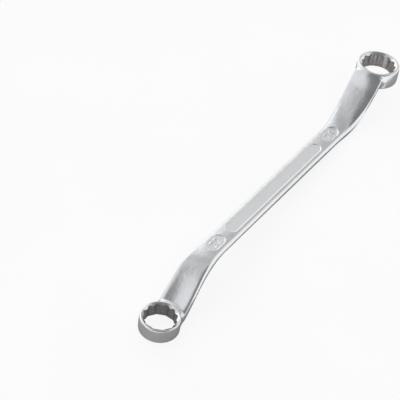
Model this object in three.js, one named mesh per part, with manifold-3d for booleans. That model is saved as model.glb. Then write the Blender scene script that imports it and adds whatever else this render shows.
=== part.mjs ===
// Ring spanner: double ended, with cranked heads and twelve-point bores, forged in one piece.
// Millimetres. It lies as it does on a bench, +Z up, with its length along X: the small ring at -X
// rests on its rim, the large ring at +X stands clear, and the crank beside it touches the bench.
import * as THREE from 'three';
import { mergeVertices } from 'three/addons/utils/BufferGeometryUtils.js';
import Module from 'manifold-3d';

const wasm = await Module();
wasm.setup();

// Whole tool
const ringSpacing = 275.4;
const handleTiltDegrees = 3.49;
const crankDegrees = 48;

// Heads
const smallHead = {
  handleOffset: 26.8,
  acrossFlats: 22,
  ringWall: 2.2,
  ringHeight: 12.3,
  shoulder: 3.3,
  flareRadius: 24,
  crankThickness: 7.8,
  outerBendRadius: 32,
  boreTurnDegrees: 0,
  markFromRing: 60.8,
};
const largeHead = {
  handleOffset: 28.1,
  acrossFlats: 24,
  ringWall: 3.1,
  ringHeight: 13.5,
  shoulder: 4.8,
  flareRadius: 6,
  crankThickness: 6.7,
  outerBendRadius: 28,
  boreTurnDegrees: 8,
  markFromRing: 62.8,
};
const ringEdgeRadius = 1;
const ringBulge = 0.2;
const leadIn = 0.8;
const leadInDegrees = 36;
const boreCornerShare = 0.2;

// Cranks
const innerBendRadius = 52;
const faceSeat = 0.9;
const blendReach = 8;
const blendSoftness = 2;
const troughDepth = 1.35;
const troughLength = 26;

// Handle
const handleWidth = 16.8;
const handleThickness = 7.1;
const sideBulge = 1.6;

// Sunk panel and size marks, alike on both broad faces
const panelLength = 120;
const panelWidth = 9.8;
const panelCornerRadius = 4.2;
const panelShift = 1.6;
const panelDepth = 0.5;
const markLength = 16.8;
const markWidth = 10;
const markDepth = 0.4;

// How far cutting tools run past the faces that they cut
const overrun = 2;

// Facets
const ringSegments = 72;
const ringEdgeSteps = 4;
const seatStations = 5;
const crankStations = 28;
const faceSteps = 8;
const sideSteps = 8;
const boreCornerSteps = 2;
const outlineSteps = 8;
const borePoints = 12;

const handleTilt = THREE.MathUtils.degToRad(handleTiltDegrees);
const crankAngle = THREE.MathUtils.degToRad(crankDegrees);
const handleRise = Math.tan(handleTilt);
const crankRise = Math.tan(crankAngle);
const halfSpacing = ringSpacing / 2;
const handleMiddle = smallHead.handleOffset + halfSpacing * handleRise;
const headRise = handleMiddle + largeHead.handleOffset + halfSpacing * handleRise;
const quarterTurn = Math.PI / 2;

// Closed solids

function solidOf(geometry) {
  geometry.deleteAttribute('normal');
  geometry.deleteAttribute('uv');
  const merged = mergeVertices(geometry);
  const vertProperties = new Float32Array(merged.getAttribute('position').array);
  const triVerts = new Uint32Array(merged.getIndex().array);
  return new wasm.Manifold(new wasm.Mesh({ numProp: 3, vertProperties, triVerts }));
}

function geometryOf(solid) {
  const { vertProperties, triVerts } = solid.getMesh();
  const geometry = new THREE.BufferGeometry();
  geometry.setAttribute('position', new THREE.BufferAttribute(vertProperties, 3));
  geometry.setIndex(new THREE.BufferAttribute(triVerts, 1));
  geometry.computeVertexNormals();
  return geometry;
}

// A skin over rings of points that all have the same count, closed by a fan at each end
function loftOf(rings) {
  const count = rings[0].length;
  const middles = [rings[0], rings[rings.length - 1]].map((ring) => {
    const sum = ring.reduce((total, point) => total.add(point), new THREE.Vector3());
    return sum.divideScalar(count);
  });
  const index = [];
  for (let ring = 1; ring < rings.length; ring += 1) {
    const near = (ring - 1) * count;
    const far = ring * count;
    for (let spot = 0; spot < count; spot += 1) {
      const next = (spot + 1) % count;
      index.push(near + spot, near + next, far + next);
      index.push(near + spot, far + next, far + spot);
    }
  }
  const lastRing = (rings.length - 1) * count;
  const firstMiddle = rings.length * count;
  for (let spot = 0; spot < count; spot += 1) {
    const next = (spot + 1) % count;
    index.push(firstMiddle, next, spot);
    index.push(firstMiddle + 1, lastRing + spot, lastRing + next);
  }
  const geometry = new THREE.BufferGeometry().setFromPoints([...rings.flat(), ...middles]);
  geometry.setIndex(index);
  return geometry;
}

// A turned solid: its outline gives radius and height, and its axis is Z
function turnedOf(outline) {
  return new THREE.LatheGeometry(outline, ringSegments).rotateX(quarterTurn);
}

// One edge of the crank seen from the side: a steep line from the ring and the handle's shallow
// line, joined by an arc. X runs from the ring's axis to the handle.
function bentEdge(ringX, ringZ, handleZ, radius) {
  const kneeX = (handleZ - ringZ + ringX * crankRise) / (crankRise - handleRise);
  const kneeZ = handleZ + kneeX * handleRise;
  const reach = radius * Math.tan((crankAngle - handleTilt) / 2);
  const startX = kneeX - reach * Math.cos(crankAngle);
  const endX = kneeX + reach * Math.cos(handleTilt);
  const centreX = startX + radius * Math.sin(crankAngle);
  const centreZ = kneeZ - reach * Math.sin(crankAngle) - radius * Math.cos(crankAngle);
  const heightAt = (x) => {
    if (x < startX) return ringZ + (x - ringX) * crankRise;
    if (x > endX) return handleZ + x * handleRise;
    return centreZ + Math.sqrt(radius ** 2 - (x - centreX) ** 2);
  };
  return { endX, centreX, centreZ, radius, heightAt };
}

// All sizes that follow from one head's own
function headOf(sizes) {
  const cornerRadius = sizes.acrossFlats / 2 / Math.cos(Math.PI / 6);
  const toothRadius = sizes.acrossFlats / 2 / Math.cos(Math.PI / borePoints);
  const ringRadius = cornerRadius + sizes.ringWall;
  const halfHeight = sizes.ringHeight / 2;
  const seatX = ringRadius - faceSeat;
  const halfThickness = handleThickness / 2 / Math.cos(handleTilt);
  const upperZ = sizes.handleOffset + halfThickness;
  const lowerZ = sizes.handleOffset - halfThickness;
  const outerEdge = bentEdge(seatX, halfHeight, upperZ, sizes.outerBendRadius);
  const innerSeatZ = halfHeight - sizes.crankThickness / Math.cos(crankAngle);
  const innerEdge = bentEdge(seatX, innerSeatZ, lowerZ, innerBendRadius);
  const halfShank = ringRadius - sizes.shoulder;
  const flareRadius = sizes.flareRadius;
  const flareY = halfShank + flareRadius;
  const flareX = Math.sqrt((ringRadius + flareRadius) ** 2 - flareY ** 2);
  const startX = flareX * ringRadius / (ringRadius + flareRadius);
  const mouthRadius = cornerRadius + leadIn;
  const floor = ringEdgeRadius - halfHeight;
  const boreTurn = THREE.MathUtils.degToRad(sizes.boreTurnDegrees);
  return {
    cornerRadius, toothRadius, ringRadius, halfHeight, seatX, outerEdge, innerEdge,
    halfShank, flareRadius, flareX, flareY, startX, mouthRadius, floor, boreTurn,
  };
}

const small = headOf(smallHead);
const large = headOf(largeHead);

// Rings, bores and their lead-ins, each in its own head's frame

function ringBlank(head) {
  const wall = head.ringRadius - ringBulge;
  const edgeX = wall - ringEdgeRadius;
  const edgeZ = head.halfHeight - ringEdgeRadius;
  const outline = [new THREE.Vector2(0, -head.halfHeight)];
  for (let step = 0; step <= ringEdgeSteps; step += 1) {
    const turn = quarterTurn * step / ringEdgeSteps;
    const x = edgeX + ringEdgeRadius * Math.sin(turn);
    outline.push(new THREE.Vector2(x, -edgeZ - ringEdgeRadius * Math.cos(turn)));
  }
  outline.push(new THREE.Vector2(head.ringRadius, 0));
  for (let step = 0; step <= ringEdgeSteps; step += 1) {
    const turn = quarterTurn * step / ringEdgeSteps;
    const x = edgeX + ringEdgeRadius * Math.cos(turn);
    outline.push(new THREE.Vector2(x, edgeZ + ringEdgeRadius * Math.sin(turn)));
  }
  outline.push(new THREE.Vector2(0, head.halfHeight));
  return solidOf(turnedOf(outline));
}

function twelvePointOutline(head) {
  const at = (radius, turn) => new THREE.Vector2(radius * Math.cos(turn), radius * Math.sin(turn));
  const pitch = Math.PI * 2 / borePoints;
  const outline = new THREE.Shape();
  for (let point = 0; point < borePoints; point += 1) {
    const turn = head.boreTurn + point * pitch;
    const tooth = at(head.toothRadius, turn);
    const corner = at(head.cornerRadius, turn + pitch / 2);
    const nextTooth = at(head.toothRadius, turn + pitch);
    const before = corner.clone().lerp(tooth, boreCornerShare);
    const after = corner.clone().lerp(nextTooth, boreCornerShare);
    if (point === 0) outline.moveTo(tooth.x, tooth.y);
    outline.lineTo(before.x, before.y);
    outline.quadraticCurveTo(corner.x, corner.y, after.x, after.y);
    outline.lineTo(nextTooth.x, nextTooth.y);
  }
  return outline;
}

function boreCutter(head) {
  const depth = 2 * (head.halfHeight + overrun);
  const options = { depth, bevelEnabled: false, curveSegments: boreCornerSteps };
  const prism = new THREE.ExtrudeGeometry(twelvePointOutline(head), options);
  prism.translate(0, 0, -depth / 2);
  const leadInRise = Math.tan(THREE.MathUtils.degToRad(leadInDegrees));
  const top = head.halfHeight + overrun;
  const cone = [
    new THREE.Vector2(0, head.halfHeight - head.mouthRadius * leadInRise),
    new THREE.Vector2(head.mouthRadius + overrun / leadInRise, top),
    new THREE.Vector2(0, top),
  ];
  const upperMouth = turnedOf(cone);
  const lowerMouth = upperMouth.clone().rotateX(Math.PI);
  return solidOf(prism).add(solidOf(upperMouth)).add(solidOf(lowerMouth));
}

// Shank: sections across the head's X, from inside the ring to the even part of the handle

function halfWidthAt(head, x) {
  if (x < head.flareX) {
    return head.flareY - Math.sqrt(head.flareRadius ** 2 - (x - head.flareX) ** 2);
  }
  const taper = THREE.MathUtils.smoothstep(x, head.ringRadius, head.innerEdge.endX);
  return THREE.MathUtils.lerp(head.halfShank, handleWidth / 2, taper);
}

// The outer face is level with the ring's face up to a curved line, and is hollowed like a trough
// where it rises from there
function outerPoint(head, station, y, flatHalf) {
  const across = 1 - (y / flatHalf) ** 2;
  const along = 1 - THREE.MathUtils.smoothstep(station, head.seatX, head.seatX + troughLength);
  const hollow = troughDepth / Math.cos(crankAngle) * across * along;
  const x = station + hollow / crankRise;
  return new THREE.Vector3(x, y, Math.max(head.outerEdge.heightAt(x) - hollow, head.halfHeight));
}

// A rise that eases in from level instead of starting with a kink
function easedRise(rise) {
  if (rise <= -blendSoftness) return 0;
  if (rise >= blendSoftness) return rise;
  return (rise + blendSoftness) ** 2 / blendSoftness / 4;
}

// The inner face runs down in a hollow curve into the ring's wall
function innerHeight(head, x, y) {
  const away = (Math.hypot(x, y) - head.ringRadius) / blendReach;
  const nearness = 1 - THREE.MathUtils.clamp(away, 0, 1);
  const rise = easedRise(head.innerEdge.heightAt(x) - head.floor);
  return head.floor + rise * (1 - nearness ** 2);
}

// Flat across both broad faces, and half an ellipse at each side
function shankSection(head, x) {
  const flatHalf = halfWidthAt(head, x) - sideBulge;
  const outer = [];
  const inner = [];
  for (let step = 0; step <= faceSteps; step += 1) {
    const y = THREE.MathUtils.lerp(flatHalf, -flatHalf, step / faceSteps);
    outer.push(outerPoint(head, x, y, flatHalf));
    inner.push(new THREE.Vector3(x, y, innerHeight(head, x, y)));
  }
  const middle = (outer[0].z + inner[0].z) / 2;
  const halfDepth = (outer[0].z - inner[0].z) / 2;
  const side = [];
  for (let step = 1; step < sideSteps; step += 1) {
    const turn = Math.PI * step / sideSteps;
    const y = flatHalf + sideBulge * Math.sin(turn);
    side.push(new THREE.Vector3(x, y, middle + halfDepth * Math.cos(turn)));
  }
  const nearSide = side.map(({ y, z }) => new THREE.Vector3(x, -y, z));
  return [...outer, ...nearSide, ...inner.reverse(), ...side.reverse()];
}

function shankHalf(head) {
  const sections = [];
  for (let step = 0; step < seatStations; step += 1) {
    const x = THREE.MathUtils.lerp(head.startX, head.seatX, step / seatStations);
    sections.push(shankSection(head, x));
  }
  for (let step = 0; step <= crankStations; step += 1) {
    const x = THREE.MathUtils.lerp(head.seatX, head.innerEdge.endX, step / crankStations);
    sections.push(shankSection(head, x));
  }
  return sections;
}

// The large head is the same form turned half round, seen from the small head's frame. Its sections
// then run from the same corner of the upper face.
function fromLargeHead(section) {
  const turned = section.map(({ x, y, z }) => new THREE.Vector3(ringSpacing - x, y, headRise - z));
  turned.reverse();
  return [...turned.slice(sideSteps - 1), ...turned.slice(0, sideSteps - 1)];
}

function shankBody() {
  const largeSide = shankHalf(large).map(fromLargeHead).reverse();
  return solidOf(loftOf([...shankHalf(small), ...largeSide]));
}

// Sunk outlines on the handle, in its own frame: X along it, Z out of its broad face

function roundedOutline(length, width, radius) {
  const x = length / 2 - radius;
  const y = width / 2 - radius;
  const outline = new THREE.Shape();
  outline.absarc(x, y, radius, 0, quarterTurn);
  outline.absarc(-x, y, radius, quarterTurn, Math.PI);
  outline.absarc(-x, -y, radius, Math.PI, Math.PI + quarterTurn);
  outline.absarc(x, -y, radius, Math.PI + quarterTurn, Math.PI * 2);
  return outline;
}

function recessCutter(outline, x, depth) {
  const options = { depth: depth + overrun, bevelEnabled: false, curveSegments: outlineSteps };
  const cutter = new THREE.ExtrudeGeometry(outline, options);
  return cutter.translate(x, 0, handleThickness / 2 - depth);
}

function handleCutters() {
  const markAt = (head) => (halfSpacing - head.markFromRing) / Math.cos(handleTilt);
  const panel = roundedOutline(panelLength, panelWidth, panelCornerRadius);
  const mark = roundedOutline(markLength, markWidth, markWidth / 2);
  const upper = [
    recessCutter(panel, -panelShift, panelDepth),
    recessCutter(mark, -markAt(smallHead), markDepth),
    recessCutter(mark, markAt(largeHead), markDepth),
  ];
  const lower = upper.map((cutter) => cutter.clone().rotateX(Math.PI));
  return [...upper, ...lower].map((cutter) => {
    cutter.rotateY(-handleTilt).translate(halfSpacing, 0, handleMiddle);
    return solidOf(cutter);
  });
}

// The forging, in the frame of the small head
function spannerGeometry() {
  const toLarge = (solid) => solid.translate(ringSpacing, 0, headRise);
  const blank = shankBody().add(ringBlank(small)).add(toLarge(ringBlank(large)));
  const cutters = [boreCutter(small), toLarge(boreCutter(large)), ...handleCutters()];
  return geometryOf(cutters.reduce((body, cutter) => body.subtract(cutter), blank));
}

// The bench touches the small ring's lower edge and the outside of the large head's bend
function restingTilt() {
  const edgeX = small.ringRadius - ringBulge - ringEdgeRadius;
  const edge = new THREE.Vector2(edgeX, small.floor);
  const bend = new THREE.Vector2(
    ringSpacing - large.outerEdge.centreX,
    headRise - large.outerEdge.centreZ,
  );
  const between = bend.sub(edge);
  const radiusStep = large.outerEdge.radius - ringEdgeRadius;
  return between.angle() - Math.asin(radiusStep / between.length());
}

const spanner = new THREE.Mesh(
  spannerGeometry(),
  new THREE.MeshStandardMaterial({
    color: 0xc6c9cc, roughness: 0.32, metalness: 1, flatShading: true,
  }),
);
spanner.name = 'spanner_forging';
spanner.rotation.y = restingTilt();
const box = new THREE.Box3().setFromObject(spanner, true);
const middle = box.getCenter(new THREE.Vector3());
spanner.position.set(-middle.x, -middle.y, -box.min.z);

const part = new THREE.Group();
part.name = 'ring_spanner';
part.add(spanner);

export default part;
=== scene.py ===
"""Ring spanner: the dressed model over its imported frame.

Metres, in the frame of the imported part. The forging has the form of the part's own source and,
but for a deeper trough, the same values. What is added is the crown of the broad faces, the
rounder edges along the cranks, the soft walls of the recesses, the raised size figures and the
finishes.
"""
import math

import bpy
import numpy as np
from mathutils import Matrix, Vector


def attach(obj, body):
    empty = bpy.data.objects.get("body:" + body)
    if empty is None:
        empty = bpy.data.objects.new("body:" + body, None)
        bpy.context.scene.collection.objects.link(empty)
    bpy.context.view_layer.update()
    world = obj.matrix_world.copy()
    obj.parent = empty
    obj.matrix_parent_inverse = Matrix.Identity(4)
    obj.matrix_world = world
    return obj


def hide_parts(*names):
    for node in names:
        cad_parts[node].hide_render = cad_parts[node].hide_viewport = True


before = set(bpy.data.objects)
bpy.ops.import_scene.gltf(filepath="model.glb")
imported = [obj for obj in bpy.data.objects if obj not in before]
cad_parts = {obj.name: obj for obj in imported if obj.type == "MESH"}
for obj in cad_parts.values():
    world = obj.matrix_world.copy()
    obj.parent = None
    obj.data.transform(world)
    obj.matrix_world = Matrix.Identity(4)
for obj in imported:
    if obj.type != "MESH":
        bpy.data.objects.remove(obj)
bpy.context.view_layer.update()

bl_info = {
    "name": "Ring spanner",
    "version": (1, 0, 0),
    "blender": (4, 5, 0),
    "location": "3D View > Sidebar > Spanner",
    "description": "Builds a chromed ring spanner with cranked heads, and the stage it lies on",
    "category": "Object",
}

MM = 0.001
BORE_POINTS = 12
NUT_SIDES = 6
FINISHES = ("satin_plating", "matt_ground", "broached_steel")

# Fineness of the meshes
FACE_STEPS = 48
SIDE_STEPS = 28
SEAT_STEPS = 12
CRANK_STEPS = 150
ROUND_STEPS = 144
RING_EDGE_STEPS = 8
RING_WALL_STEPS = 14
BORE_CORNER_STEPS = 6
RECESS_CORNER_STEPS = 10
RECESS_WALL_STEPS = 6
SKIN_SMOOTHING = 0.5
SKIN_SMOOTH_ROUNDS = 5
EDGE_SPREAD_ROUNDS = 3
SMALLEST_SPAN = 1e-12
MERGE_GAP = 0.002 * MM
LOFT_MERGE_GAP = 0.0001 * MM
BODY_SMOOTH_ANGLE = math.radians(35)
FIGURE_SMOOTH_ANGLE = math.radians(40)

# How fast the rounding of a crank's edges grows toward them
OUTER_EDGE_POWER = 8
INNER_EDGE_POWER = 4

# The cutters: what stands out past the steel, and the recess walls as shares of their slope
OVERRUN = 2 * MM
GROUND_INSET_SHARE = 3
WALL_END_SHARE = 0.9
RIM_SHARE = 1.09
RIM_DEPTH_SHARE = 1.05
MARK_END_SHARE = 0.499
LEVEL_NORMAL = 0.99

# The size figures: their height as a share of the letter size, and their soft edges
FIGURE_HEIGHT_SHARE = 0.7
FIGURE_SWELL = 0.03 * MM
FIGURE_STEM = 0.1 * MM
FIGURE_BEVEL = 0.2 * MM
FIGURE_BEVEL_STEPS = 3

# The finishes: shades of their patterns, and how far the roughness goes below and above its middle
CLOUD_SHADE = 0.9
WORN_SHADE = 1.1
SPECKLE_SHADE = 0.88
BROACHED_SHADE = 0.8
PAPER_SHADE = 0.985
WORN_RANGE = (0.15, 0.6)
CLOUD_ROUGHNESS = (-0.04, 0.05)
FINE_ROUGHNESS = (-0.02, 0.03)
WORN_POLISH = 0.08
GROUND_ROUGHNESS = (-0.05, 0.07)
BROACHED_ROUGHNESS = (-0.04, 0.06)
GROUND_METAL_SHARE = 0.88
PAPER_GLOSS = 0.1
PAPER_ROUGHNESS = 0.9

# The studio's light: each a direction, and the nearness to it where a change starts and ends
OVERHEAD = ((0, 0, 1), 0, 1)
CAMERA_SIDE = ((-0.4408, -0.4948, 0.7489), 0.58, 0.8)
SIDE_FLAG = ((-0.0643, -0.9886, 0.1392), 0.8, 0.97)
SOFT_BOX = ((0.4212, 0.7428, 0.5209), 0.845, 0.945)
BOX_EDGE = ((0.5711, 0.5165, 0.6381), 0.67, 0.965)
OVERHEAD_SHARE = 0.66
SIDE_FLAG_SHARE = 0.62
BOX_EDGE_LEVEL = 0.24
LAMP_WIDTH = 4
LAMP_HEIGHT = 2

# The bench: its paper, and the outline in millimetres of the grey sheet that puts painted shade
# into the metal
FLOOR_WIDTH = 6
EVEN_SHARE = 0.88
SHADE_SHEET_GREY = 0.33
SHADE_SHEET_HEIGHT = 0.2 * MM
SHADE_SHEET_OUTLINE = (
    (-200, -70), (-127, -70), (-108, -27), (0, -24), (50, -20), (75, -13), (115, -13),
    (127, -55), (200, -55), (200, 45), (-200, 45),
)

# The camera, fitted to the photograph, with its turn in degrees
CAMERA_PLACE = (-0.56734, -0.34721, 0.8182)
CAMERA_TURN = (39.0486, 0.0688, -53.738)
LENS_MM = 126
SENSOR_MM = 36
SIGHT_END = 20


# Settings that a user can change

def length(name, description, value):
    return bpy.props.FloatProperty(
        name=name, description=description, default=value * MM, min=0, unit="LENGTH", precision=4,
    )


def angle(name, description, value):
    return bpy.props.FloatProperty(
        name=name, description=description, default=math.radians(value), subtype="ANGLE",
        unit="ROTATION",
    )


def share(name, description, value):
    return bpy.props.FloatProperty(
        name=name, description=description, default=value, min=0, max=1, subtype="FACTOR",
    )


def amount(name, description, value, unit="NONE"):
    return bpy.props.FloatProperty(
        name=name, description=description, default=value, min=0, unit=unit,
    )


def colour(name, description, value):
    return bpy.props.FloatVectorProperty(
        name=name, description=description, default=value, size=3, min=0, max=1, subtype="COLOR",
    )


def head_settings(offset, mark, flats, wall, height, shoulder, flare, thickness, bend, turn):
    """The settings of one head, with its own defaults in millimetres and degrees"""
    return {
        "handle_offset": length("Handle offset", "From the ring's middle to the handle's", offset),
        "mark_from_ring": length("Mark place", "From the bore's axis to the size mark", mark),
        "across_flats": length("Across flats", "Size of the nut that the bore fits", flats),
        "ring_wall": length("Ring wall", "Wall outside the bore's corners", wall),
        "ring_height": length("Ring height", "Height of the ring along its axis", height),
        "shoulder": length("Shoulder", "How far the shank's side lies inside the ring", shoulder),
        "flare_radius": length("Flare radius", "Hollow curve from the ring to the shank", flare),
        "crank_thickness": length("Crank thickness", "Thickness of the steep part", thickness),
        "outer_bend_radius": length("Outer bend", "Radius over the bend's outside", bend),
        "bore_turn": angle("Bore turn", "Turn of the twelve points about the bore", turn),
    }


class SmallHeadSettings(bpy.types.PropertyGroup):
    """Sizes of the small head"""
    __annotations__ = head_settings(
        offset=26.8, mark=60.8, flats=22, wall=2.2, height=12.3, shoulder=3.3, flare=24,
        thickness=7.8, bend=32, turn=0)


class LargeHeadSettings(bpy.types.PropertyGroup):
    """Sizes of the large head"""
    __annotations__ = head_settings(
        offset=28.1, mark=62.8, flats=24, wall=3.1, height=13.5, shoulder=4.8, flare=6,
        thickness=6.7, bend=28, turn=8)


class SpannerSettings(bpy.types.PropertyGroup):
    """Sizes and colours of the whole spanner"""
    small: bpy.props.PointerProperty(
        name="Small head", description="Sizes of the small head", type=SmallHeadSettings)
    large: bpy.props.PointerProperty(
        name="Large head", description="Sizes of the large head", type=LargeHeadSettings)
    ring_spacing: length("Ring spacing", "Between the two bores' axes", 275.4)
    handle_tilt: angle("Handle tilt", "Turn of the handle against the rings' faces", 3.49)
    crank: angle("Crank", "Slope of the steep parts against the rings' faces", 48)
    ring_edge_radius: length("Ring edge", "Rounding of the rings' edges", 1)
    ring_bulge: length("Ring bulge", "How far the rings' walls swell", 0.2)
    lead_in: length("Lead-in", "Width of the chamfer outside the bore's corners", 0.8)
    lead_in_angle: angle("Lead-in angle", "Slope of the chamfer", 36)
    bore_corner_share: share("Bore corner", "Share of each flat that its corner rounds", 0.2)
    inner_bend_radius: length("Inner bend", "Radius under the bend's inside", 52)
    face_seat: length("Face seat", "Ring face left outside the crank's first line", 0.9)
    blend_reach: length("Blend reach", "Length of the hollow run into the ring's wall", 8)
    blend_softness: length("Blend softness", "How gently that run starts", 2)
    trough_depth: length("Trough depth", "Hollow of the crank's outer face", 1.7)
    trough_length: length("Trough length", "Length over which the hollow fades", 26)
    handle_width: length("Handle width", "Across the handle", 16.8)
    handle_thickness: length("Handle thickness", "Between the broad faces", 7.1)
    side_bulge: length("Side bulge", "How far the handle's sides swell", 1.6)
    crown: length("Crown", "How far the broad faces fall toward their sides", 0.3)
    edge_fall: length("Edge fall", "How far the cranks' edges are rounded off", 1.1)
    panel_length: length("Panel length", "Along the sunk panel", 120)
    panel_width: length("Panel width", "Across the sunk panel", 9.8)
    panel_corner_radius: length("Panel corner", "Rounding of the panel's corners", 4.2)
    panel_shift: length("Panel shift", "From the handle's middle toward the small ring", 1.6)
    panel_depth: length("Panel depth", "How deep the panel is sunk", 0.5)
    mark_length: length("Mark length", "Along a size mark", 16.8)
    mark_width: length("Mark width", "Across a size mark", 10)
    mark_depth: length("Mark depth", "How deep a size mark is sunk", 0.4)
    wall_slope: length("Wall slope", "Half the width of the sunk outlines' soft walls", 0.58)
    figure_height: length("Figure height", "Height of the raised size figures", 6.5)
    figure_rise: length("Figure rise", "How far the figures stand out of the mark", 0.37)
    grain: length("Forged grain", "Smallest detail of the forged surface", 0.43)
    steel: colour("Plated steel", "Colour of the satin plating", (0.95, 0.975, 1))
    ground: colour("Sunk ground", "Colour of the matt ground in the recesses", (0.925, 0.935, 0.94))
    broached: colour("Broached steel", "Colour of the bores' cut walls", (0.66, 0.64, 0.63))
    floor: colour("Floor", "Colour of the floor", (0.98, 0.98, 0.98))
    satin_roughness: share("Satin roughness", "Roughness of the plating", 0.2)
    ground_roughness: share("Ground roughness", "Roughness of the sunk ground", 0.5)
    broached_roughness: share("Broached roughness", "Roughness of the bores' walls", 0.29)
    top_light: amount("Top light", "Power of the large lamp over the bench", 40, unit="POWER")
    far_level: amount("Far light", "Brightness of the studio round and behind the spanner", 0.9)
    near_share: share("Near light", "Share of that brightness at the camera's side", 0.32)
    box_level: amount("Soft box", "Brightness that the box behind the spanner adds", 0.54)


def settings():
    return bpy.context.scene.ring_spanner


# The forging's form, in the small ring's frame: X from its axis along the tool, Z its axis

def smooth_step(x, low, high):
    part = np.clip((x - low) / (high - low), 0, 1)
    return part * part * (3 - 2 * part)


def soft_start(value, soft):
    """Nothing below minus soft, the value itself above soft, and a parabola between"""
    if value <= -soft:
        return 0
    if value < soft:
        return (value + soft) ** 2 / soft / 4
    return value


class BentEdge:
    """One edge of the crank seen from the side: a steep line and a shallow one, and their arc"""

    def __init__(self, s, ring_x, ring_z, handle_z, radius):
        self.crank_rise = math.tan(s.crank)
        self.handle_rise = math.tan(s.handle_tilt)
        self.ring_x, self.ring_z, self.handle_z, self.radius = ring_x, ring_z, handle_z, radius
        lift = handle_z - ring_z + ring_x * self.crank_rise
        knee_x = lift / (self.crank_rise - self.handle_rise)
        knee_z = handle_z + knee_x * self.handle_rise
        reach = radius * math.tan((s.crank - s.handle_tilt) / 2)
        self.start_x = knee_x - reach * math.cos(s.crank)
        self.end_x = knee_x + reach * math.cos(s.handle_tilt)
        self.centre_x = self.start_x + radius * math.sin(s.crank)
        self.centre_z = knee_z - reach * math.sin(s.crank) - radius * math.cos(s.crank)

    def height_at(self, x):
        steep = self.ring_z + (x - self.ring_x) * self.crank_rise
        shallow = self.handle_z + x * self.handle_rise
        arc = self.centre_z + np.sqrt(np.maximum(self.radius ** 2 - (x - self.centre_x) ** 2, 0))
        return np.where(x < self.start_x, steep, np.where(x > self.end_x, shallow, arc))


class Head:
    """All sizes that follow from one head's own"""

    def __init__(self, s, own):
        self.s = s
        self.corner_radius = own.across_flats / 2 / math.cos(math.pi / NUT_SIDES)
        self.tooth_radius = own.across_flats / 2 / math.cos(math.pi / BORE_POINTS)
        self.ring_radius = self.corner_radius + own.ring_wall
        self.half_height = own.ring_height / 2
        self.seat_x = self.ring_radius - s.face_seat
        half_thickness = s.handle_thickness / 2 / math.cos(s.handle_tilt)
        self.outer = BentEdge(
            s, self.seat_x, self.half_height, own.handle_offset + half_thickness,
            own.outer_bend_radius)
        self.inner = BentEdge(
            s, self.seat_x, self.half_height - own.crank_thickness / math.cos(s.crank),
            own.handle_offset - half_thickness, s.inner_bend_radius)
        self.half_shank = self.ring_radius - own.shoulder
        self.flare_radius = own.flare_radius
        self.flare_y = self.half_shank + own.flare_radius
        reach = self.ring_radius + own.flare_radius
        self.flare_x = math.sqrt(reach ** 2 - self.flare_y ** 2)
        self.start_x = self.flare_x * self.ring_radius / reach
        self.mouth_radius = self.corner_radius + s.lead_in
        self.floor = s.ring_edge_radius - self.half_height
        self.bore_turn = own.bore_turn

    def taper_at(self, x):
        """From 0 at the ring's wall to 1 where the handle starts"""
        return smooth_step(x, self.ring_radius, self.inner.end_x)

    def half_width_at(self, x):
        if x < self.flare_x:
            return self.flare_y - math.sqrt(self.flare_radius ** 2 - (x - self.flare_x) ** 2)
        return self.half_shank + (self.s.handle_width / 2 - self.half_shank) * self.taper_at(x)

    def edge_fall_at(self, y, flat_half, along, power):
        """How far a broad face falls toward its sides, and more so along the crank"""
        aside = np.abs(y) / flat_half
        return self.s.crown * aside ** 2 + self.s.edge_fall * along * aside ** power

    def outer_points(self, station, y, flat_half):
        s = self.s
        across = 1 - (y / flat_half) ** 2
        along = 1 - smooth_step(station, self.seat_x, self.seat_x + s.trough_length)
        hollow = s.trough_depth / math.cos(s.crank) * across * along
        x = station + hollow / math.tan(s.crank)
        z = np.maximum(self.outer.height_at(x) - hollow, self.half_height)
        fall = self.edge_fall_at(y, flat_half, along, OUTER_EDGE_POWER)
        return np.column_stack([x, y, z - fall])

    def inner_points(self, station, y, flat_half):
        away = (np.hypot(station, y) - self.ring_radius) / self.s.blend_reach
        nearness = 1 - np.clip(away, 0, 1)
        inner_height = float(self.inner.height_at(station))
        rise = soft_start(inner_height - self.floor, self.s.blend_softness)
        fall = self.edge_fall_at(y, flat_half, 1 - self.taper_at(station), INNER_EDGE_POWER)
        z = self.floor + rise * (1 - nearness ** 2) + fall
        return np.column_stack([np.full_like(y, station), y, z])

    def section(self, station):
        """Slightly crowned broad faces, and half an ellipse at each side"""
        bulge = self.s.side_bulge
        flat_half = self.half_width_at(station) - bulge
        y = np.linspace(flat_half, -flat_half, FACE_STEPS + 1)
        outer = self.outer_points(station, y, flat_half)
        inner = self.inner_points(station, y, flat_half)
        middle = (outer[0, 2] + inner[0, 2]) / 2
        half_depth = (outer[0, 2] - inner[0, 2]) / 2
        turn = np.pi * np.arange(1, SIDE_STEPS) / SIDE_STEPS
        side = np.column_stack([
            np.full_like(turn, station), flat_half + bulge * np.sin(turn),
            middle + half_depth * np.cos(turn)])
        return np.vstack([outer, side * (1, -1, 1), inner[::-1], side[::-1]])

    def sections(self):
        """From under the ring to the end of the crank"""
        stations = np.concatenate([
            np.linspace(self.start_x, self.seat_x, SEAT_STEPS, endpoint=False),
            np.linspace(self.seat_x, self.inner.end_x, CRANK_STEPS)])
        return [self.section(x) for x in stations]


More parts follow.
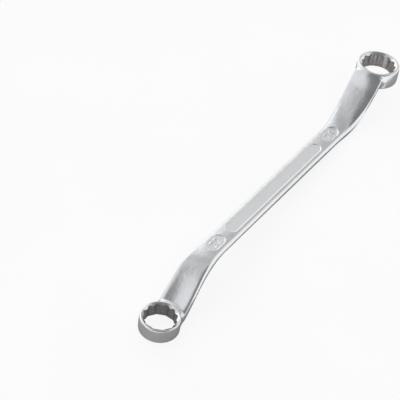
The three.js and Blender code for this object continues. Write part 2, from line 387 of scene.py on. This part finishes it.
class Form:
    """Both heads, and the place of the tool on the bench"""

    def __init__(self, s):
        self.s = s
        self.small, self.large = Head(s, s.small), Head(s, s.large)
        self.half_spacing = s.ring_spacing / 2
        half_rise = self.half_spacing * math.tan(s.handle_tilt)
        self.handle_middle = s.small.handle_offset + half_rise
        self.head_rise = self.handle_middle + s.large.handle_offset + half_rise
        self.small_mark_x = (s.small.mark_from_ring - self.half_spacing) / math.cos(s.handle_tilt)
        self.large_mark_x = (self.half_spacing - s.large.mark_from_ring) / math.cos(s.handle_tilt)

    def from_large(self, section):
        """Turns a section of the large head over to its place, with its points in step"""
        turned = section * (-1, 1, -1) + (self.s.ring_spacing, 0, self.head_rise)
        return np.roll(turned[::-1], 1 - SIDE_STEPS, axis=0)

    def resting_tilt(self):
        """The bench touches the small ring's lower edge and the outside of the large bend"""
        small, large, s = self.small, self.large, self.s
        edge = Vector((small.ring_radius - s.ring_bulge - s.ring_edge_radius, small.floor))
        bend = Vector((s.ring_spacing - large.outer.centre_x,
                       self.head_rise - large.outer.centre_z))
        between = bend - edge
        step = large.outer.radius - s.ring_edge_radius
        return math.atan2(between.y, between.x) - math.asin(step / between.length)

    def handle_matrix(self):
        """From the handle's own frame, X along it and Z out of its upper face"""
        turn = Matrix.Rotation(-self.s.handle_tilt, 4, "Y")
        return Matrix.Translation((self.half_spacing, 0, self.handle_middle)) @ turn


# Modelling helpers

def deselect_all():
    bpy.ops.object.select_all(action="DESELECT")


def edit(piece, work):
    """Runs work on the piece alone, in edit mode with all of it selected"""
    deselect_all()
    piece.select_set(True)
    bpy.context.view_layer.objects.active = piece
    bpy.ops.object.mode_set(mode="EDIT")
    bpy.ops.mesh.select_all(action="SELECT")
    work()
    bpy.ops.object.mode_set(mode="OBJECT")
    return piece


def added(name):
    """The piece that was added last, now named"""
    piece = bpy.context.active_object
    piece.name = name
    piece.data.name = name
    return piece


def apply_place(piece):
    """Moves the piece's place, turn and scale into its mesh"""
    deselect_all()
    piece.select_set(True)
    bpy.context.view_layer.objects.active = piece
    bpy.ops.object.transform_apply(location=True, rotation=True, scale=True)
    return piece


def move(piece, matrix):
    piece.matrix_world = matrix @ piece.matrix_world
    return apply_place(piece)


def modify(piece, kind, **values):
    """Adds one modifier to the piece and applies it"""
    deselect_all()
    piece.select_set(True)
    bpy.context.view_layer.objects.active = piece
    modifier = piece.modifiers.new(kind.title(), kind)
    for key, value in values.items():
        setattr(modifier, key, value)
    bpy.ops.object.modifier_apply(modifier=modifier.name)
    return piece


def combine(piece, other, operation):
    """Joins the other to the piece, or cuts it away, and deletes the other"""
    modify(piece, "BOOLEAN", object=other, operation=operation, solver="EXACT")
    bpy.data.objects.remove(other)
    return piece


def join(piece, *others):
    """Puts the others' meshes into the piece, still as shells of their own"""
    deselect_all()
    for entry in (piece, *others):
        entry.select_set(True)
    bpy.context.view_layer.objects.active = piece
    bpy.ops.object.join()
    return piece


def outline_piece(name, points, closed=False):
    """A line of points, as a mesh with edges only"""
    count = len(points)
    edges = [(spot, spot + 1) for spot in range(count - 1)]
    if closed:
        edges.append((count - 1, 0))
    mesh = bpy.data.meshes.new(name)
    mesh.from_pydata([tuple(point) for point in points], edges, [])
    piece = bpy.data.objects.new(name, mesh)
    bpy.context.scene.collection.objects.link(piece)
    return piece


def close_up():
    """Merges what lies together, and points the faces outwards"""
    bpy.ops.mesh.remove_doubles(threshold=MERGE_GAP)
    bpy.ops.mesh.normals_make_consistent(inside=False)


def spun(name, outline):
    """The outline of radius and height, spun once round Z"""
    piece = outline_piece(name, [(x, 0, z) for x, z in outline])

    def work():
        bpy.ops.mesh.spin(steps=ROUND_STEPS, angle=math.tau, center=(0, 0, 0), axis=(0, 0, 1))
        bpy.ops.mesh.select_all(action="SELECT")
        close_up()
    return edit(piece, work)


def lofted(name, rows):
    """A grid whose rows become the given rings of points, closed at its seam and ends"""
    stations, spots = rows.shape[:2]
    deselect_all()
    bpy.ops.mesh.primitive_grid_add(x_subdivisions=stations - 1, y_subdivisions=spots, size=2)
    piece = added(name)
    flat = np.array([point.co for point in piece.data.vertices])
    row = np.rint((flat[:, 0] + 1) / 2 * (stations - 1)).astype(int)
    spot = np.rint((flat[:, 1] + 1) / 2 * spots).astype(int) % spots
    piece.data.vertices.foreach_set("co", rows[row, spot].ravel())

    def work():
        bpy.ops.mesh.remove_doubles(threshold=LOFT_MERGE_GAP)
        bpy.ops.mesh.select_all(action="DESELECT")
        bpy.ops.mesh.select_non_manifold()
        bpy.ops.mesh.fill_holes(sides=0)
        bpy.ops.mesh.select_all(action="SELECT")
        bpy.ops.mesh.normals_make_consistent(inside=False)
    return edit(piece, work)


def dress(piece, finish, wanted=None):
    """Lists all the forging's finishes on the piece, and puts one on its faces"""
    if not piece.data.materials:
        for name in FINISHES:
            piece.data.materials.append(bpy.data.materials[name])
    for face in piece.data.polygons:
        if wanted is None or wanted(face):
            face.material_index = FINISHES.index(finish)
    return piece


# Pieces of the forging

def shank_piece(form):
    """Both cranks and the handle between them, as one skin"""
    large_side = [form.from_large(section) for section in form.large.sections()]
    return lofted("shank", np.array(form.small.sections() + large_side[::-1]))


def ring_piece(form, head):
    """The ring with its rounded edges and slightly swelling wall"""
    radius = form.s.ring_edge_radius
    wall = head.ring_radius - form.s.ring_bulge
    middle_z = head.half_height - radius
    corner = [
        (wall - radius + radius * math.cos(turn), middle_z + radius * math.sin(turn))
        for turn in np.linspace(0, math.pi / 2, RING_EDGE_STEPS + 1)]
    swell = [
        (wall + form.s.ring_bulge * (1 - (z / middle_z) ** 2), z)
        for z in np.linspace(-middle_z, middle_z, RING_WALL_STEPS + 1)[1:-1]]
    lower = [(x, -z) for x, z in reversed(corner)]
    outline = [(0, -head.half_height), *lower, *swell, *corner, (0, head.half_height)]
    return spun("ring", outline)


def bore_piece(form, head):
    """A twelve-point prism with a cone at each end for the lead-in"""
    def at(radius, turn):
        return Vector((radius * math.cos(turn), radius * math.sin(turn), 0))

    pitch = math.tau / BORE_POINTS
    points = []
    for point in range(BORE_POINTS):
        turn = head.bore_turn + point * pitch
        tooth, corner = at(head.tooth_radius, turn), at(head.corner_radius, turn + pitch / 2)
        following = at(head.tooth_radius, turn + pitch)
        before = corner.lerp(tooth, form.s.bore_corner_share)
        after = corner.lerp(following, form.s.bore_corner_share)
        points.append(tooth)
        for step in range(BORE_CORNER_STEPS + 1):
            part = step / BORE_CORNER_STEPS
            points.append(before.lerp(corner, part).lerp(corner.lerp(after, part), part))
    depth = head.half_height + OVERRUN
    low_end = [point - Vector((0, 0, depth)) for point in points]
    prism = outline_piece("bore", low_end, closed=True)

    def work():
        bpy.ops.mesh.edge_face_add()
        bpy.ops.mesh.extrude_region_move(TRANSFORM_OT_translate={"value": (0, 0, 2 * depth)})
        bpy.ops.mesh.select_all(action="SELECT")
        close_up()
    dress(edit(prism, work), "broached_steel")
    rise = math.tan(form.s.lead_in_angle)
    low = head.half_height - head.mouth_radius * rise
    mouth = [(0, low), (head.mouth_radius + OVERRUN / rise, depth), (0, depth)]
    for side in (1, -1):
        cone = spun("mouth", [(x, side * z) for x, z in mouth])
        combine(prism, dress(cone, "satin_plating"), "UNION")
    return prism


def rounded_outline(length_x, width, radius):
    """A rectangle with round corners, once round from the middle of its right corner"""
    turns = np.linspace(0, math.pi / 2, RECESS_CORNER_STEPS + 1)
    points = []
    for quarter, (side_x, side_y) in enumerate(((1, 1), (-1, 1), (-1, -1), (1, -1))):
        middle_x = side_x * (length_x / 2 - radius)
        middle_y = side_y * (width / 2 - radius)
        for turn in turns + quarter * math.pi / 2:
            points.append((middle_x + radius * math.cos(turn), middle_y + radius * math.sin(turn)))
    return np.array(points)


def face_matrix(upper):
    """Leaves what is made for the handle's upper face there, or turns it over to the lower"""
    return Matrix.Identity(4) if upper else Matrix.Rotation(math.pi, 4, "X")


def recess_piece(form, size, radius, x, upper):
    """A block that sinks a panel or mark: level ground and soft sloping walls"""
    length_x, width, depth = size
    slope = form.s.wall_slope
    wall = [(slope * (2 * part - 1), depth * smooth_step(part, 0, 1))
            for part in np.linspace(0, WALL_END_SHARE, RECESS_WALL_STEPS + 1)]
    rim = RIM_SHARE * slope
    profile = [(-GROUND_INSET_SHARE * slope, 0), *wall, (rim, RIM_DEPTH_SHARE * depth),
               (rim, depth + OVERRUN)]
    rows = []
    for out, height in profile:
        outline = rounded_outline(length_x + 2 * out, width + 2 * out, radius + out)
        rows.append(np.column_stack([outline, np.full(len(outline), height)]))
    block = lofted("recess", np.array(rows))
    dress(block, "satin_plating")
    dress(block, "matt_ground", lambda face: face.normal.z < -LEVEL_NORMAL)
    level = Matrix.Translation((x, 0, form.s.handle_thickness / 2 - depth))
    return move(block, form.handle_matrix() @ face_matrix(upper) @ level)


def recess_pieces(form):
    """The cutters of the panel and both marks, for the upper face and the lower one"""
    s = form.s
    panel = (s.panel_length, s.panel_width, s.panel_depth)
    mark = (s.mark_length, s.mark_width, s.mark_depth)
    cutters = []
    for upper in (True, False):
        cutters.append(recess_piece(form, panel, s.panel_corner_radius, -s.panel_shift, upper))
        for x in (form.small_mark_x, form.large_mark_x):
            cutters.append(recess_piece(form, mark, s.mark_width * MARK_END_SHARE, x, upper))
    return cutters


def lay_matrix(form, corners):
    """Turns the tool to lie on the bench, and centres its box over the origin"""
    turn = Matrix.Rotation(form.resting_tilt(), 4, "Y")
    laid = corners @ np.array(turn.to_3x3()).T
    low, high = laid.min(0), laid.max(0)
    return Matrix.Translation((-(low[0] + high[0]) / 2, -(low[1] + high[1]) / 2, -low[2])) @ turn


def points_of(piece):
    spots = np.empty(len(piece.data.vertices) * 3)
    piece.data.vertices.foreach_get("co", spots)
    return spots.reshape(-1, 3)


def mark_edges(piece):
    """Keeps how strongly each place bulges, for the wear along the edges"""
    mesh = piece.data
    points = points_of(piece)
    normals = np.empty(len(mesh.vertices) * 3)
    mesh.vertices.foreach_get("normal", normals)
    normals = normals.reshape(-1, 3)
    ends = np.empty(len(mesh.edges) * 2, int)
    mesh.edges.foreach_get("vertices", ends)
    first, second = ends.reshape(-1, 2).T
    along = points[second] - points[first]
    span = np.maximum((along ** 2).sum(1), SMALLEST_SPAN)
    bend = ((normals[second] - normals[first]) * along).sum(1) / span
    total, count = np.zeros(len(points)), np.zeros(len(points))
    for end in (first, second):
        np.add.at(total, end, bend)
        np.add.at(count, end, 1)
    worn = total / np.maximum(count, 1)
    for _ in range(EDGE_SPREAD_ROUNDS):
        spread = np.zeros(len(points))
        np.add.at(spread, first, worn[second])
        np.add.at(spread, second, worn[first])
        worn = (worn + spread / np.maximum(count, 1)) / 2
    layer = mesh.attributes.new("edge_bulge", "FLOAT", "POINT")
    layer.data.foreach_set("value", np.clip(worn * MM, -1, 1).astype(np.float32))


# Finishes

class Graph:
    """A node tree put together step by step"""

    def __init__(self, tree):
        self.nodes, self.links = tree.nodes, tree.links

    def feed(self, value, socket):
        """Links another node's output to the socket, or sets a plain value on it"""
        if isinstance(value, bpy.types.NodeSocket):
            self.links.new(value, socket)
        elif socket.type == "RGBA":
            socket.default_value = (*value, 1)
        else:
            socket.default_value = value

    def add(self, kind, inputs=None, **values):
        node = self.nodes.new(kind)
        for key, value in values.items():
            setattr(node, key, value)
        for key, value in (inputs or {}).items():
            self.feed(value, node.inputs[key])
        return node

    def spread(self, value, low, high, start=0.3, end=0.7, curve="LINEAR"):
        """Turns the range from start to end into the one from low to high"""
        limits = {"From Min": start, "From Max": end, "To Min": low, "To Max": high}
        node = self.add("ShaderNodeMapRange", {"Value": value, **limits}, interpolation_type=curve)
        return node.outputs["Result"]

    def spread_about(self, value, middle, reach):
        """The noise's range turned into one about the middle"""
        return self.spread(value, middle + reach[0], middle + reach[1])

    def maths(self, operation, first, second):
        return self.add("ShaderNodeMath", {0: first, 1: second}, operation=operation).outputs[0]


class Finish(Graph):
    """The nodes of one material"""

    def __init__(self, name):
        self.material = bpy.data.materials.new(name)
        self.material.use_nodes = True
        super().__init__(self.material.node_tree)
        self.shader = self.nodes["Principled BSDF"]

    def put(self, value, key):
        self.feed(value, self.shader.inputs[key])

    def noise(self, scale, detail, roughness, stretch=None, turn=0):
        place = self.add("ShaderNodeTexCoord").outputs["Object"]
        if stretch:
            turned = {"Vector": place, "Scale": stretch, "Rotation": (0, -turn, 0)}
            place = self.add("ShaderNodeMapping", turned).outputs["Vector"]
        inputs = {"Vector": place, "Scale": scale, "Detail": detail, "Roughness": roughness}
        return self.add("ShaderNodeTexNoise", inputs).outputs["Fac"]

    def mix(self, factor, first, second):
        inputs = {"Factor": factor, 6: first, 7: second}
        return self.add("ShaderNodeMix", inputs, data_type="RGBA").outputs[2]

    def bump(self, height, strength, distance, before=None):
        inputs = {"Height": height, "Strength": strength, "Distance": distance}
        if before:
            inputs["Normal"] = before
        return self.add("ShaderNodeBump", inputs).outputs["Normal"]


def shade(colour, factor):
    """The colour made darker, or brighter up to white"""
    return tuple(min(factor * part, 1) for part in colour)


def satin_plating(s):
    """Satin chrome over a forged skin: cloudy sheen, fine ripple, bright edges"""
    finish = Finish("satin_plating")
    worn = finish.add("ShaderNodeAttribute", attribute_name="edge_bulge").outputs["Fac"]
    edge = finish.spread(worn, 0, 1, *WORN_RANGE)
    cloud = finish.noise(scale=60, detail=3, roughness=0.55)
    clouded = finish.mix(finish.spread(cloud, 0, 1), shade(s.steel, CLOUD_SHADE), s.steel)
    finish.put(finish.mix(edge, clouded, shade(s.steel, WORN_SHADE)), "Base Color")
    fine = finish.noise(scale=900, detail=2, roughness=0.6)
    rough = finish.spread_about(cloud, s.satin_roughness, CLOUD_ROUGHNESS)
    rough = finish.maths("ADD", rough, finish.spread(fine, *FINE_ROUGHNESS))
    rough = finish.maths("SUBTRACT", rough, finish.maths("MULTIPLY", edge, WORN_POLISH))
    finish.put(rough, "Roughness")
    wave = finish.noise(scale=320, detail=3, roughness=0.65)
    ripple = finish.bump(wave, strength=0.75, distance=0.2 * MM)
    pore = finish.noise(scale=1400, detail=2, roughness=0.6)
    finish.put(finish.bump(pore, strength=0.25, distance=0.012 * MM, before=ripple), "Normal")
    finish.put(1, "Metallic")
    return finish.material


def matt_ground(s):
    """The blasted ground inside the recesses: fine speckle and no clear reflections"""
    finish = Finish("matt_ground")
    speckle = finish.noise(scale=1500, detail=3, roughness=0.7)
    cloud = finish.noise(scale=220, detail=3, roughness=0.6)
    spotted = finish.mix(
        finish.spread(speckle, 0, 1), shade(s.ground, SPECKLE_SHADE), s.ground)
    finish.put(spotted, "Base Color")
    finish.put(finish.spread_about(cloud, s.ground_roughness, GROUND_ROUGHNESS), "Roughness")
    uneven = finish.bump(cloud, strength=0.35, distance=0.1 * MM)
    finish.put(finish.bump(speckle, strength=0.5, distance=0.05 * MM, before=uneven), "Normal")
    finish.put(GROUND_METAL_SHARE, "Metallic")
    return finish.material


def broached_steel(s, form):
    """The bores' cut walls: duller and darker than the plating, with fine lines along the axis"""
    finish = Finish("broached_steel")
    lines = finish.noise(
        scale=500, detail=2, roughness=0.6, stretch=(1, 1, 0.04), turn=form.resting_tilt())
    lined = finish.mix(
        finish.spread(lines, 0, 1), shade(s.broached, BROACHED_SHADE), s.broached)
    finish.put(lined, "Base Color")
    fine = finish.noise(scale=700, detail=2, roughness=0.5)
    finish.put(finish.spread_about(fine, s.broached_roughness, BROACHED_ROUGHNESS), "Roughness")
    finish.put(finish.bump(lines, strength=0.4, distance=0.03 * MM), "Normal")
    finish.put(1, "Metallic")
    return finish.material


def pale_floor(s):
    """Plain paper. To the camera and in the metal it is mostly even white, with a faint shadow"""
    finish = Finish("pale_floor")
    cloud = finish.noise(scale=8, detail=2, roughness=0.5)
    tone = finish.mix(finish.spread(cloud, 0, 1), shade(s.floor, PAPER_SHADE), s.floor)
    finish.put(tone, "Base Color")
    finish.put(PAPER_ROUGHNESS, "Roughness")
    finish.put(PAPER_GLOSS, "Specular IOR Level")
    even = finish.add("ShaderNodeEmission", {"Color": tone}).outputs["Emission"]
    path = finish.add("ShaderNodeLightPath").outputs
    seen = finish.maths("MAXIMUM", path["Is Camera Ray"], path["Is Glossy Ray"])
    seen = finish.maths("MAXIMUM", seen, path["Is Transmission Ray"])
    part = finish.maths("MULTIPLY", seen, EVEN_SHARE)
    paper = finish.shader.outputs["BSDF"]
    blend = finish.add("ShaderNodeMixShader", {"Fac": part, 1: paper, 2: even})
    finish.feed(blend.outputs["Shader"], finish.nodes["Material Output"].inputs["Surface"])
    return finish.material


def grey_card():
    """Plain dull grey, which the metal shows as painted shade"""
    finish = Finish("grey_card")
    finish.put((SHADE_SHEET_GREY, SHADE_SHEET_GREY, SHADE_SHEET_GREY), "Base Color")
    finish.put(PAPER_ROUGHNESS, "Roughness")
    return finish.material


# Operators

class SPANNER_OT_forging(bpy.types.Operator):
    """Builds the forged body with both rings, cranks, bores, the sunk panels and marks"""
    bl_idname = "spanner.forging"
    bl_label = "Forging"
    bl_options = {"REGISTER", "UNDO"}

    def execute(self, context):
        s = settings()
        form = Form(s)
        satin_plating(s)
        matt_ground(s)
        broached_steel(s, form)
        to_large = Matrix.Translation((s.ring_spacing, 0, form.head_rise))
        body = shank_piece(form)
        join(body, ring_piece(form, form.small), move(ring_piece(form, form.large), to_large))
        body.name = body.data.name = "forged_body"
        lay = lay_matrix(form, points_of(body))
        context.scene["spanner_lay"] = [list(row) for row in lay]
        modify(body, "REMESH", mode="VOXEL", voxel_size=s.grain)
        modify(body, "SMOOTH", factor=SKIN_SMOOTHING, iterations=SKIN_SMOOTH_ROUNDS)
        dress(body, "satin_plating")
        large_bore = move(bore_piece(form, form.large), to_large)
        for cutter in (bore_piece(form, form.small), large_bore, *recess_pieces(form)):
            combine(body, cutter, "DIFFERENCE")
        mark_edges(body)
        move(body, lay)
        bpy.ops.object.shade_smooth_by_angle(angle=BODY_SMOOTH_ANGLE)
        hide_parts("spanner_forging")
        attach(body, "root")
        return {"FINISHED"}


class SPANNER_OT_figures(bpy.types.Operator):
    """Raises the size figures inside the four marks"""
    bl_idname = "spanner.figures"
    bl_label = "Size figures"
    bl_options = {"REGISTER", "UNDO"}

    def execute(self, context):
        s = settings()
        form = Form(s)
        lay = Matrix(context.scene["spanner_lay"])
        plating = bpy.data.materials["satin_plating"]
        for face, upper in (("upper", True), ("lower", False)):
            for end, x in (("small", form.small_mark_x), ("large", form.large_mark_x)):
                figure = self.figure(s, f"{round(getattr(s, end).across_flats / MM)}")
                figure.name = figure.data.name = f"size_figures_{end}_{face}"
                level = Matrix.Translation((x, 0, s.handle_thickness / 2 - s.mark_depth))
                move(figure, lay @ form.handle_matrix() @ face_matrix(upper) @ level)
                figure.data.materials.clear()
                figure.data.materials.append(plating)
                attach(figure, "root")
        return {"FINISHED"}

    def figure(self, s, text):
        """Bold raised figures with soft edges, centred on the origin, standing up along Z"""
        deselect_all()
        bpy.ops.object.text_add()
        figure = bpy.context.active_object
        figure.data.body = text
        figure.data.size = s.figure_height / FIGURE_HEIGHT_SHARE
        figure.data.align_x = "CENTER"
        figure.data.align_y = "CENTER"
        figure.data.offset = FIGURE_SWELL
        figure.data.extrude = FIGURE_STEM
        figure.data.bevel_depth = FIGURE_BEVEL
        figure.data.bevel_resolution = FIGURE_BEVEL_STEPS
        bpy.ops.object.convert(target="MESH")
        figure = bpy.context.active_object
        spots = points_of(figure)
        middle = (spots.min(0) + spots.max(0)) / 2
        figure.location = (-middle[0], -middle[1], s.figure_rise - spots[:, 2].max())
        apply_place(figure)
        edit(figure, close_up)
        bpy.ops.object.shade_smooth_by_angle(angle=FIGURE_SMOOTH_ANGLE)
        mark_edges(figure)
        return figure


class SPANNER_OT_stage(bpy.types.Operator):
    """Sets the floor, the grey sheet of painted shade, the world, the lamp and the camera"""
    bl_idname = "spanner.stage"
    bl_label = "Stage"
    bl_options = {"REGISTER", "UNDO"}

    def execute(self, context):
        s = settings()
        self.floor(s)
        self.painted_shade_sheet()
        self.world(context, s)
        self.top_lamp(context, s)
        self.camera(context)
        context.scene.view_settings.view_transform = "Standard"
        return {"FINISHED"}

    def floor(self, s):
        deselect_all()
        bpy.ops.mesh.primitive_plane_add(size=FLOOR_WIDTH)
        floor = added("floor")
        floor.data.materials.append(pale_floor(s))

    def painted_shade_sheet(self):
        """A grey sheet under the spanner, seen in its metal only: painted shade standing in for the
        deep shade of a real bench
        """
        corners = [(x * MM, y * MM, SHADE_SHEET_HEIGHT) for x, y in SHADE_SHEET_OUTLINE]
        painted_shade_sheet = outline_piece("painted_shade_sheet", corners, closed=True)
        edit(painted_shade_sheet, bpy.ops.mesh.edge_face_add)
        painted_shade_sheet.data.materials.append(grey_card())
        # Hidden from the camera, from bounced light and from shadows, so it is only painted shade
        # in the metal's reflections
        painted_shade_sheet.visible_camera = painted_shade_sheet.visible_diffuse = painted_shade_sheet.visible_shadow = False

    def world(self, context, s):
        """A soft tent, dimmer overhead, toward the camera and at a flag, with a soft box behind"""
        world = bpy.data.worlds.new("studio")
        context.scene.world = world
        world.use_nodes = True
        graph = Graph(world.node_tree)
        place = graph.add("ShaderNodeTexCoord").outputs["Generated"]

        def toward(side, low, high, curve="SMOOTHSTEP"):
            direction, start, end = side
            nearness = graph.add(
                "ShaderNodeVectorMath", {0: place, 1: direction}, operation="DOT_PRODUCT")
            return graph.spread(nearness.outputs["Value"], low, high, start, end, curve)

        near = toward(CAMERA_SIDE, s.far_level, s.far_level * s.near_share)
        rise = toward(OVERHEAD, 1, OVERHEAD_SHARE, "LINEAR")
        flag = toward(SIDE_FLAG, 1, SIDE_FLAG_SHARE)
        box = toward(SOFT_BOX, 0, s.box_level)
        edge = toward(BOX_EDGE, 0, BOX_EDGE_LEVEL)
        tent = graph.maths("MULTIPLY", graph.maths("MULTIPLY", near, rise), flag)
        level = graph.maths("ADD", tent, graph.maths("SUBTRACT", box, edge))
        background = graph.nodes["Background"]
        graph.feed((1, 1, 1), background.inputs["Color"])
        graph.feed(level, background.inputs["Strength"])

    def top_lamp(self, context, s):
        """A wide lamp for the bench, whose own outline stays out of the metal's reflections"""
        light = bpy.data.lights.new("top_lamp", "AREA")
        light.shape = "RECTANGLE"
        light.size, light.size_y = LAMP_WIDTH, LAMP_WIDTH
        light.energy = s.top_light
        lamp = bpy.data.objects.new("top_lamp", light)
        context.scene.collection.objects.link(lamp)
        lamp.location = (0, 0, LAMP_HEIGHT)
        lamp.visible_glossy = False

    def camera(self, context):
        """The photograph's own place, angle and lens"""
        data = bpy.data.cameras.new("camera")
        data.sensor_width = SENSOR_MM
        data.lens = LENS_MM
        data.clip_end = SIGHT_END
        camera = bpy.data.objects.new("camera", data)
        context.scene.collection.objects.link(camera)
        camera.location = CAMERA_PLACE
        camera.rotation_euler = [math.radians(turn) for turn in CAMERA_TURN]
        context.scene.camera = camera


class SPANNER_PT_panel(bpy.types.Panel):
    """Lists the spanner's settings and the operators that build it"""
    bl_idname = "SPANNER_PT_panel"
    bl_label = "Ring spanner"
    bl_space_type = "VIEW_3D"
    bl_region_type = "UI"
    bl_category = "Spanner"

    def draw(self, context):
        s = settings()
        for operator in BUILD:
            self.layout.operator(operator)
        for title, group in (("Whole tool", s), ("Small head", s.small), ("Large head", s.large)):
            box = self.layout.box()
            box.label(text=title)
            for key in group.bl_rna.properties.keys():
                if key not in ("rna_type", "name", "small", "large"):
                    box.prop(group, key)


CLASSES = (
    SmallHeadSettings, LargeHeadSettings, SpannerSettings, SPANNER_OT_forging,
    SPANNER_OT_figures, SPANNER_OT_stage, SPANNER_PT_panel,
)
BUILD = ("spanner.forging", "spanner.figures", "spanner.stage")


def register():
    for entry in CLASSES:
        bpy.utils.register_class(entry)
    bpy.types.Scene.ring_spanner = bpy.props.PointerProperty(type=SpannerSettings)


def unregister():
    del bpy.types.Scene.ring_spanner
    for entry in reversed(CLASSES):
        bpy.utils.unregister_class(entry)


def main():
    register()
    bpy.ops.spanner.forging()
    bpy.ops.spanner.figures()
    bpy.ops.spanner.stage()


if __name__ == "__main__":
    main()
